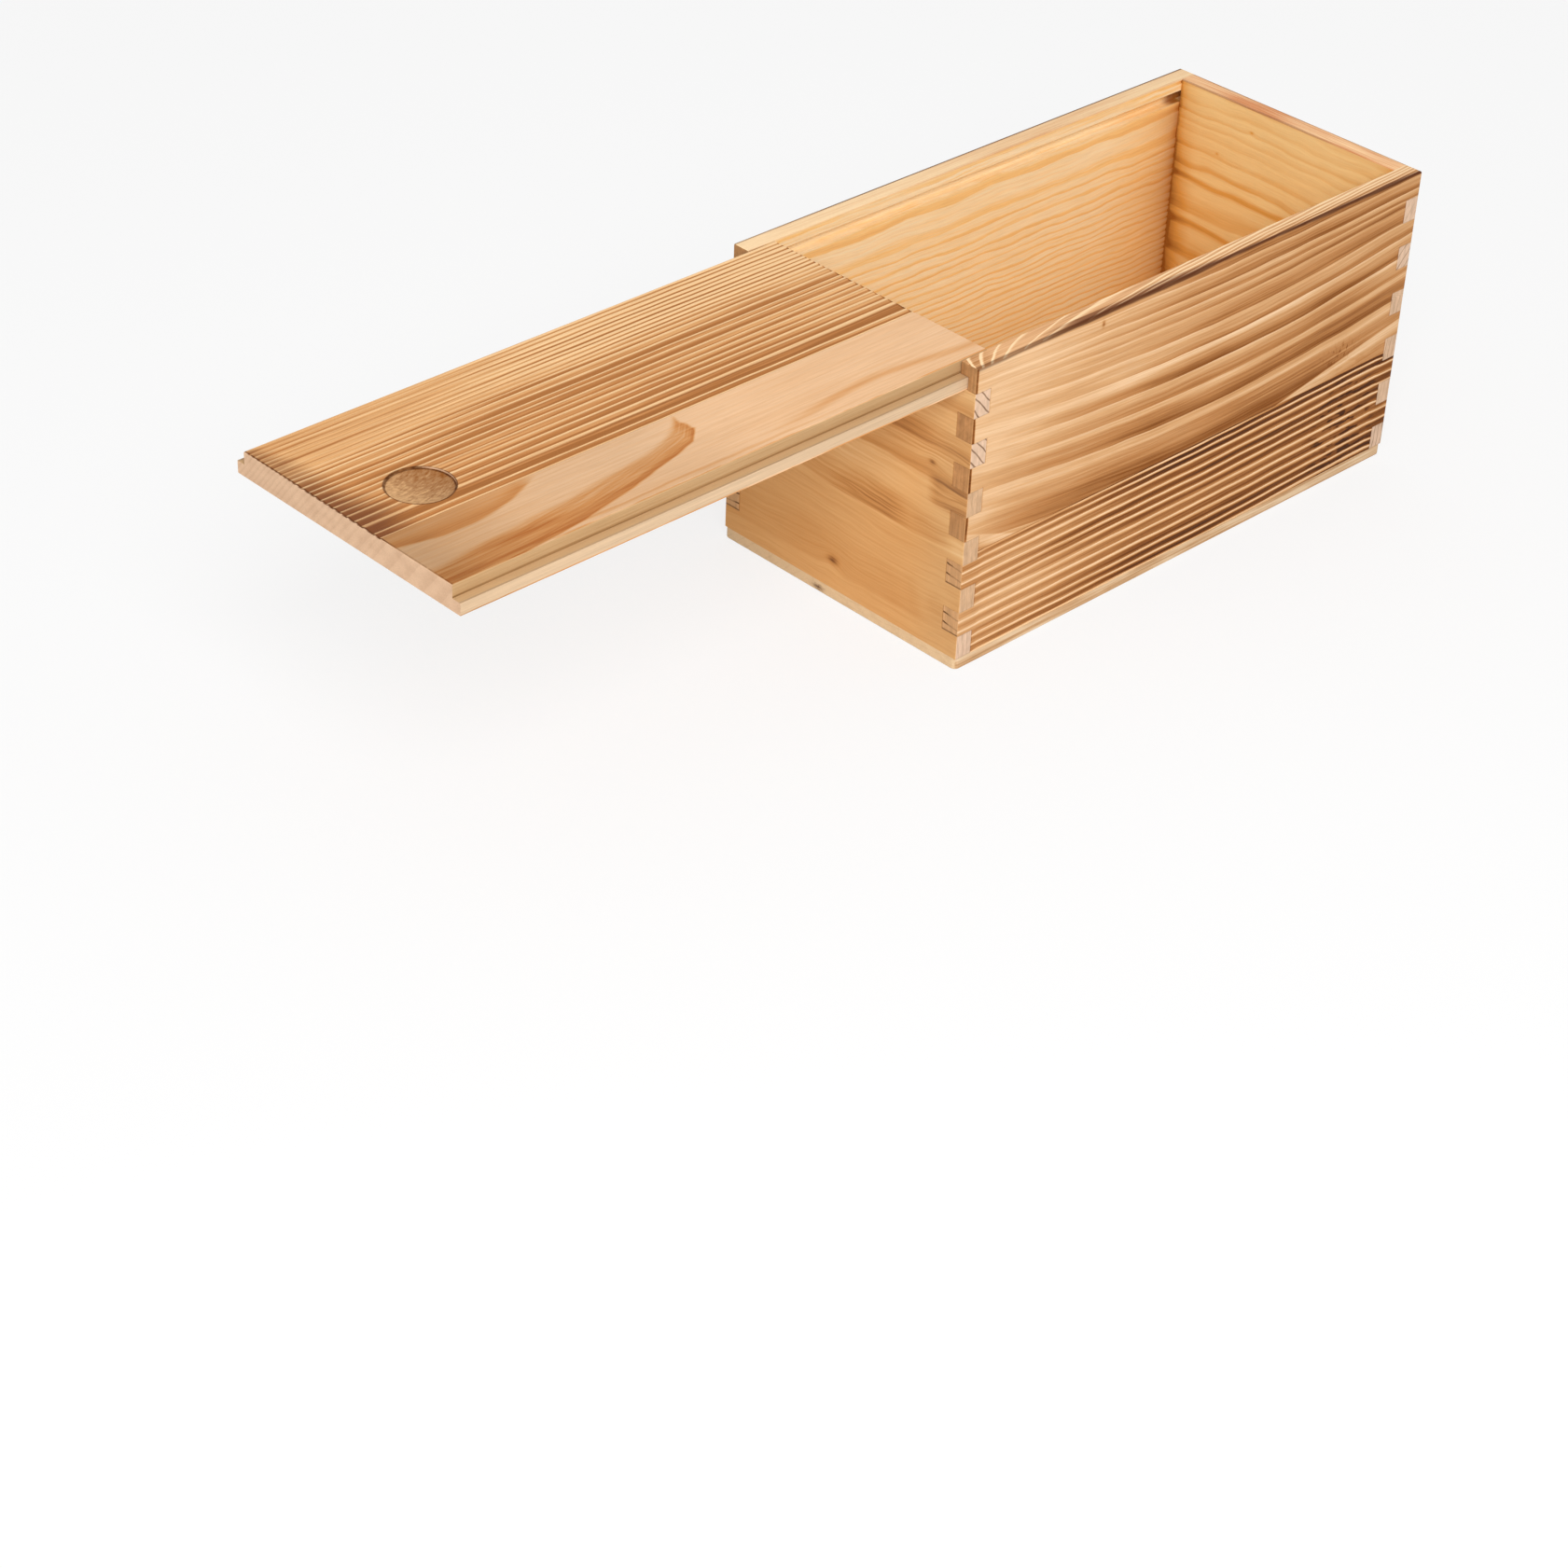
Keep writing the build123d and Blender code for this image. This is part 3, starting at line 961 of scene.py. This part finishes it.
    def plain_shade(self, graph, place, cloud):
        """How dark the clear wood is, from 0 for plain to 1 for the edge of a flame."""
        u, v, w = place
        wander = graph.noise(place, (18, 5, 5), self.seed + 61, detail=2)
        streak = graph.noise(place, (50, 0.9, 2.0), self.seed + 33, detail=3)
        shade = 0.08 + streak * 0.5 + cloud * 0.3
        long_flame = self.long_flame(graph, place, wander)
        shade += graph.most(long_flame, self.short_flame(graph, place, wander))
        shade += self.soft_bands(graph, place, wander)
        arris = graph.smooth(v, self.width - 1.0, self.width - 0.5)
        arris *= graph.smooth(wander + streak, -0.12, 0.08)
        return shade + arris * 0.5 + graph.smooth(self.length - u + wander * 20, 64.0, 16.0) * 0.14

    def dulled(self, graph, place, cloud):
        """How much light the clear wood gives back: less towards the front end."""
        u, v, w = place
        from_end = self.length - u + cloud * 14
        end = graph.smooth(from_end, 52.0, 22.0) * 0.11 + graph.smooth(from_end, 24.0, 2.0) * 0.12
        return 1.0 - graph.smooth(u + cloud * 40, 95.0, 150.0) * 0.15 - end

    def side_colour(self, graph, place, look):
        """Sawn side of the raised field, with painted shade in the corner, and the pale tongue below it."""
        u, v, w = place
        lines = graph.noise(place, (70, 2, 0.6), self.seed + 77, detail=3)
        # Painted shade in the concave corner where the side of the field meets the tongue, pushing the side
        # toward Side, dark.
        to_corner = graph.smooth(w, FIELD_HEIGHT - 1.6, FIELD_HEIGHT - 0.2)
        to_corner *= graph.smooth(w, FIELD_HEIGHT + 0.5, FIELD_HEIGHT)
        side = graph.ramp(0.3 + lines * 0.9 + to_corner * 0.5, look.side_pale, look.side, look.side_dark)
        # The outer side and edge of each tongue are darker and greyer than its top, to offset the strong key
        # light on the side: painted shade.
        edge = graph.smooth(self.past_field(place), TONGUE - 0.9, TONGUE - 0.7)
        tongue = graph.blend(look.tongue, look.tongue_edge, edge)
        tongue = graph.scaled(tongue, 1.0 + lines * 0.5)
        return graph.blend(side, tongue, graph.smooth(w, FIELD_HEIGHT - 0.1, FIELD_HEIGHT + 0.1))

    def wood_colour(self, graph, place, normal, look):
        u, v, w = place
        rings = self.rings(graph, place)
        cloud = graph.noise(place, (80, 22, 22), self.seed + 21, detail=2)
        streak = graph.noise(rings.along(place), (70, 1.0, 1.0), self.seed + 23, detail=3)
        body = graph.ramp(
            self.striped_shade(graph, place, rings, cloud, streak),
            look.pale, look.tan, look.brown, look.dark, look.char,
        )
        body = graph.blend(body, look.scorch, self.scorched(graph, place, rings, cloud))
        plain = graph.ramp(
            self.plain_shade(graph, place, cloud), look.plain, look.warm, look.flame, look.flame_edge
        )
        plain = graph.scaled(plain, self.dulled(graph, place, cloud))
        colour = graph.blend(plain, body, self.striped(graph, place))
        colour = self.recess_colour(graph, place, colour, look)
        dots = graph.noise(place, (3, 1.6, 3), self.seed + 37, detail=2)
        front_arris = graph.smooth(self.length - u, 0.9, 0.4) * graph.smooth(dots, -0.3, 0.0)
        front_arris *= 0.85 - 0.45 * graph.smooth(v, 76.0, 84.0)
        colour = graph.blend(colour, look.soot, front_arris * graph.smooth(w, 1.6, 0.8))
        aside = graph.smooth(self.past_field(place), -0.35, -0.1)
        under = graph.smooth(w, self.thickness - 0.7, self.thickness - 0.3)
        return rings, graph.blend(colour, self.side_colour(graph, place, look), aside * (1.0 - under))

    def recess_colour(self, graph, place, colour, look):
        u, v, w = place
        distance = self.recess_distance(graph, place)
        inside = graph.smooth(distance, THUMB_RADIUS + 0.05, THUMB_RADIUS - 0.25)
        speckle = graph.noise(place, (1.7, 1.0, 1.2), self.seed + 71, detail=4)
        slanted = (u + v * 0.35, v - u * 0.35, w)
        arcs = graph.noise(slanted, (10, 0.9, 0.9), self.seed + 73, detail=3)
        # Painted shade: the floor of the recess is darker towards the end nearer the box and towards the
        # lid's left side.
        painted_recess_shade = (self.length - THUMB_FROM_FRONT - u) * 0.03 - (v - self.width / 2) * 0.012
        shade = 0.4 + speckle * 1.2 + arcs * 0.8 + painted_recess_shade
        floor = graph.ramp(shade, look.recess, look.recess_dark, look.dark)
        colour = graph.blend(colour, floor, inside)
        patchy = graph.noise(place, (3, 3, 3), self.seed + 75, detail=2)
        rim = graph.between(distance, THUMB_RADIUS - 0.7, THUMB_RADIUS + 0.35, 0.25)
        return graph.blend(colour, look.soot, graph.limited(rim * (0.85 + patchy * 1.1)))


# Settings


def colour_property(name, description, red, green, blue):
    return bpy.props.FloatVectorProperty(
        name=name, description=description, subtype="COLOR", size=3, min=0.0, max=1.0,
        default=linear(red, green, blue),
    )


def number_property(name, description, default, unit="NONE", **more):
    return bpy.props.FloatProperty(name=name, description=description, default=default, unit=unit, **more)


def length_property(name, description, default):
    return number_property(name, description, default, "LENGTH", precision=5)


def relief_property(depth):
    return length_property("Relief depth", "How deep the brush cuts between the lines", depth)


def angle_property(name, description, degrees):
    return number_property(name, description, math.radians(degrees), "ROTATION", subtype="ANGLE")


class SideLook(bpy.types.PropertyGroup):
    """Burned and brushed wood of the long walls"""

    relief_depth: relief_property(0.00035)
    pale: colour_property("Pale", "Thin lines along the ridges", 236, 199, 158)
    tan: colour_property("Tan", "Wood between the dark bands", 210, 161, 111)
    brown: colour_property("Brown", "Dark bands", 183, 126, 74)
    dark: colour_property("Dark", "Burned wood", 134, 78, 31)
    char: colour_property("Char", "Deepest burned troughs", 72, 34, 6)
    soot: colour_property("Soot", "Burned arrises", 86, 44, 20)
    pale_rim: colour_property("Pale rim", "Lines in the sanded top of the rim", 254, 220, 174)
    rim: colour_property("Rim", "Sanded top of the rim", 230, 178, 129)
    rim_soot: colour_property("Rim, burned", "Burned outer half of the rim", 108, 60, 40)
    honey: colour_property("Honey", "Inside of the wall", 254, 231, 190)
    amber: colour_property("Amber", "Deeper wood inside", 252, 206, 136)
    orange: colour_property("Orange", "Lines inside the wall", 240, 178, 106)
    # Deep is the darkest stop of the lines inside, and also the colour of the painted shade in the inner
    # corners and at the back end of the groove.
    deep: colour_property("Deep", "Corners and groove ends inside", 158, 85, 12)
    end_pale: colour_property("End grain", "Sawn ends", 178, 130, 84)
    end_light: colour_property("End grain, low", "Sawn ends of the lower fingers", 207, 163, 117)
    end_line: colour_property("End grain lines", "Thin lines in the sawn ends", 144, 102, 62)


class ShortLook(bpy.types.PropertyGroup):
    """Plain wood of the front and back walls"""

    relief_depth: relief_property(0.00005)
    pale: colour_property("Pale", "Palest wood", 242, 202, 148)
    honey: colour_property("Honey", "Clear wood", 226, 174, 114)
    orange: colour_property("Orange", "Yearly lines", 204, 144, 82)
    brown: colour_property("Brown", "Darker bands", 168, 110, 58)
    knot: colour_property("Knot", "Knots", 112, 66, 34)
    # The grey-green of the painted light that dulls the front wall, most near its right corner.
    faded: colour_property("Muted", "What the front greys to near its right corner", 122, 138, 118)
    soot: colour_property("Soot", "Burned arrises of the back wall", 104, 48, 30)
    rim: colour_property("Rim", "Top of the back wall", 255, 210, 160)
    rim_line: colour_property("Rim lines", "Streaks in the top of the back wall", 220, 144, 94)
    inner_pale: colour_property("Inside", "Inside of the wall", 245, 212, 152)
    inner_line: colour_property("Inside, bands", "Soft bands inside the wall", 222, 160, 80)
    # The darkest stop inside, reached mostly by the painted shade in the inner corners.
    inner_dark: colour_property("Inside, corners", "Corners inside the wall", 158, 96, 36)
    end_pale: colour_property("End grain", "Sawn ends", 217, 184, 156)
    end_line: colour_property("End grain lines", "Thin lines in the sawn ends", 130, 98, 74)


class BottomLook(bpy.types.PropertyGroup):
    """Pale wood of the bottom panel"""

    relief_depth: relief_property(0.00003)
    pale: colour_property("Pale", "Clear wood", 226, 198, 162)
    tan: colour_property("Tan", "Yearly lines", 202, 162, 120)
    brown: colour_property("Brown", "Darkest streaks", 168, 124, 80)
    dark: colour_property("Dark", "A flaw in the front edge", 88, 50, 28)
    inner_pale: colour_property("Inside", "Floor of the box", 250, 224, 180)
    inner_line: colour_property("Inside, bands", "Bands in the floor of the box", 236, 190, 130)
    end_pale: colour_property("End grain", "Sawn ends", 222, 192, 152)
    end_line: colour_property("End grain lines", "Thin lines in the sawn ends", 178, 140, 102)


class LidLook(bpy.types.PropertyGroup):
    """Burned and brushed wood of the lid"""

    relief_depth: relief_property(0.0003)
    pale: colour_property("Pale", "Thin lines along the ridges", 248, 206, 154)
    tan: colour_property("Tan", "Wood between the dark bands", 222, 168, 112)
    brown: colour_property("Brown", "Dark bands", 184, 122, 70)
    dark: colour_property("Dark", "Burned wood", 140, 84, 36)
    char: colour_property("Char", "Deepest burned lines", 84, 44, 14)
    soot: colour_property("Soot", "Rim of the thumb recess and front arris", 84, 44, 14)
    plain: colour_property("Plain", "Clear wood without lines", 236, 193, 151)
    warm: colour_property("Warm", "Streaks in the clear wood", 224, 172, 122)
    flame: colour_property("Flame", "Warm patches in the clear wood", 212, 147, 87)
    flame_edge: colour_property("Flame edge", "Darkest edge of the flames", 188, 114, 56)
    recess: colour_property("Recess", "Pale flecks in the thumb recess", 216, 170, 120)
    recess_dark: colour_property("Recess floor", "Floor of the thumb recess", 170, 124, 82)
    side_pale: colour_property("Side, pale", "Pale lines in the sawn side", 200, 166, 124)
    side: colour_property("Side", "Sawn side of the raised field", 180, 142, 98)
    side_dark: colour_property("Side, dark", "Dark lines in the sawn side", 122, 88, 50)
    scorch: colour_property("Scorched", "Burned front end", 116, 68, 40)
    # Darker than Tongue, to offset the key light on the tongue's side: painted shade.
    tongue_edge: colour_property("Tongue edge", "Edge of the tongue", 208, 178, 144)
    tongue: colour_property("Tongue", "Pale tongue along each side", 234, 194, 146)
    end_pale: colour_property("End grain", "Sawn ends", 222, 184, 150)
    end_line: colour_property("End grain lines", "Thin lines in the sawn ends", 146, 102, 72)


class StudioLook(bpy.types.PropertyGroup):
    """Camera, floor and lights"""

    azimuth: angle_property("Azimuth", "Camera's direction, from the front to the right", 44.953)
    elevation: angle_property("Elevation", "Camera's height above the floor as an angle", 35.213)
    roll: angle_property("Roll", "Camera's turn about its own axis", 2.575)
    distance: length_property("Distance", "From the camera to the point that it looks at", 1.2905)
    target: bpy.props.FloatVectorProperty(
        name="Target", description="Point on the floor that the camera looks at", size=3,
        default=(0.0768, -0.2315, 0.0), subtype="XYZ", unit="LENGTH",
    )
    focal_length: number_property("Focal length", "Lens, for a sensor 36 mm wide", 81.15, "CAMERA")
    floor_size: length_property("Floor size", "Side of the square floor", 14.0)
    floor_colour: colour_property("Floor", "Pale floor", 238, 238, 238)
    floor_glow: number_property("Floor glow", "Share of white in what the camera sees of the floor", 0.76)
    daylight: number_property("Daylight", "Strength of the even light from all round", 0.6)
    key_power: number_property("Key light", "Power of the soft light from the front right", 21.0, "POWER")


LOOKS = {
    "pine_box_sides": SideLook,
    "pine_box_ends": ShortLook,
    "pine_box_bottom": BottomLook,
    "pine_box_lid": LidLook,
    "pine_box_studio": StudioLook,
}


# Operators


class PINEBOX_OT_sides(bpy.types.Operator):
    """Dress the long walls"""

    bl_idname = "pinebox.sides"
    bl_label = "Side walls"

    def execute(self, context):
        look = context.scene.pine_box_sides
        left = SideWall("side_wall_left", outward="-", seed=31.4, seam=NO_SEAM)
        right = SideWall("side_wall_right", outward="+", seed=3.2, seam=SEAM_BELOW_RIM)
        dress(left, look, "box")
        dress(right, look, "box")
        return {"FINISHED"}


class PINEBOX_OT_ends(bpy.types.Operator):
    """Dress the front and back walls"""

    bl_idname = "pinebox.ends"
    bl_label = "Front and back walls"

    def execute(self, context):
        look = context.scene.pine_box_ends
        front = FrontWall("front_wall", through="+y", seed=12.9, lines=FRONT_LINES, knots=FRONT_KNOTS)
        back = BackWall("back_wall", through="-y", seed=47.1, lines=BACK_LINES, knots=BACK_KNOTS)
        dress(front, look, "box")
        dress(back, look, "box")
        return {"FINISHED"}


class PINEBOX_OT_bottom(bpy.types.Operator):
    """Dress the bottom panel"""

    bl_idname = "pinebox.bottom"
    bl_label = "Bottom panel"

    def execute(self, context):
        dress(BottomPanel("bottom_panel"), context.scene.pine_box_bottom, "box")
        return {"FINISHED"}


class PINEBOX_OT_lid(bpy.types.Operator):
    """Dress the lid"""

    bl_idname = "pinebox.lid"
    bl_label = "Lid"

    def execute(self, context):
        dress(Lid("lid"), context.scene.pine_box_lid, "lid")
        return {"FINISHED"}


class PINEBOX_OT_studio(bpy.types.Operator):
    """Set up the floor, the lights and the camera"""

    bl_idname = "pinebox.studio"
    bl_label = "Studio"

    def execute(self, context):
        look = context.scene.pine_box_studio
        make_floor(look)
        make_daylight(look)
        make_key_light(look)
        aim_camera(look)
        return {"FINISHED"}


class PINEBOX_PT_panel(bpy.types.Panel):
    """Lists the settings and the steps that dress the box"""

    bl_idname = "PINEBOX_PT_panel"
    bl_label = "Pine box"
    bl_space_type = "VIEW_3D"
    bl_region_type = "UI"
    bl_category = "Pine box"

    def draw(self, context):
        for setting, step in zip(LOOKS, STEPS):
            section = self.layout.box()
            section.operator(step.bl_idname)
            look = getattr(context.scene, setting)
            for name in look.__annotations__:
                section.prop(look, name)


STEPS = (PINEBOX_OT_sides, PINEBOX_OT_ends, PINEBOX_OT_bottom, PINEBOX_OT_lid, PINEBOX_OT_studio)


# Studio


def link(name, data):
    made = bpy.data.objects.new(name, data)
    bpy.context.scene.collection.objects.link(made)
    return made


def seen_by_camera(graph):
    """1 for what the camera sees, straight on or in a reflection."""
    rays = graph.node("ShaderNodeLightPath").outputs
    straight = graph.most(Value(graph, rays["Is Camera Ray"]), Value(graph, rays["Is Glossy Ray"]))
    return graph.most(straight, Value(graph, rays["Is Transmission Ray"]))


def make_floor(look):
    half = look.floor_size / 2
    mesh = bpy.data.meshes.new("floor")
    corners = [(-half, -half, 0), (half, -half, 0), (half, half, 0), (-half, half, 0)]
    mesh.from_pydata(corners, [], [(0, 1, 2, 3)])
    material = bpy.data.materials.new("Pale floor")
    graph = fresh_graph(material)
    seen = graph.node("ShaderNodeTexCoord").outputs
    grey = graph.node("ShaderNodeTexNoise", values={"Vector": seen["Object"], "Scale": 3.0}).outputs[0]
    colour = graph.scaled(tuple(look.floor_colour), 0.99 + Value(graph, grey) * 0.02)
    lit = graph.node("ShaderNodeBsdfPrincipled", values={"Base Color": colour, "Roughness": 0.9})
    white = graph.node("ShaderNodeEmission", values={"Color": WHITE, "Strength": 1.0})
    seen_white = seen_by_camera(graph) * look.floor_glow
    graph.node("ShaderNodeOutputMaterial", values={"Surface": graph.mixed(lit, white, seen_white)})
    mesh.materials.append(material)
    link("floor", mesh)


def make_daylight(look):
    """Even light from all round, with a white background for the camera and for reflections."""
    world = bpy.data.worlds.new("Daylight")
    bpy.context.scene.world = world
    graph = fresh_graph(world)
    light = graph.node("ShaderNodeBackground", values={"Color": WHITE, "Strength": look.daylight})
    white = graph.node("ShaderNodeBackground", values={"Color": WHITE, "Strength": 1.0})
    both = graph.mixed(light, white, seen_by_camera(graph))
    graph.node("ShaderNodeOutputWorld", values={"Surface": both})


def make_key_light(look):
    lamp = bpy.data.lights.new("key", "AREA")
    lamp.energy = look.key_power
    lamp.shape = "DISK"
    lamp.size = KEY_LIGHT_SIZE
    made = link("key", lamp)
    place = Vector(KEY_LIGHT_PLACE)
    made.location = place
    made.rotation_euler = (-place).to_track_quat("-Z", "Y").to_euler()


def aim_camera(look):
    """Places the camera by its direction, height, roll and distance from the point it looks at."""
    flat, height = math.cos(look.elevation), math.sin(look.elevation)
    back = Vector((math.sin(look.azimuth) * flat, -math.cos(look.azimuth) * flat, height))
    level = Vector((math.cos(look.azimuth), math.sin(look.azimuth), 0))
    upright = back.cross(level)
    turn, rise = math.cos(look.roll), math.sin(look.roll)
    right = level * turn + upright * rise
    up = upright * turn - level * rise
    camera = link("camera", bpy.data.cameras.new("camera"))
    camera.data.lens = look.focal_length
    camera.data.sensor_width = SENSOR_WIDTH
    camera.data.clip_end = FARTHEST_SEEN
    camera.matrix_world = Matrix.Translation(Vector(look.target) + back * look.distance) @ Matrix(
        (right, up, back)
    ).transposed().to_4x4()
    bpy.context.scene.camera = camera
    bpy.context.scene.view_settings.view_transform = "Standard"


# Add-on


CLASSES = (*LOOKS.values(), *STEPS, PINEBOX_PT_panel)


def register():
    for made in CLASSES:
        bpy.utils.register_class(made)
    for name, look in LOOKS.items():
        setattr(bpy.types.Scene, name, bpy.props.PointerProperty(type=look))


def unregister():
    for name in LOOKS:
        delattr(bpy.types.Scene, name)
    for made in reversed(CLASSES):
        bpy.utils.unregister_class(made)


def main():
    register()
    bpy.ops.pinebox.sides()
    bpy.ops.pinebox.ends()
    bpy.ops.pinebox.bottom()
    bpy.ops.pinebox.lid()
    bpy.ops.pinebox.studio()


if __name__ == "__main__":
    main()
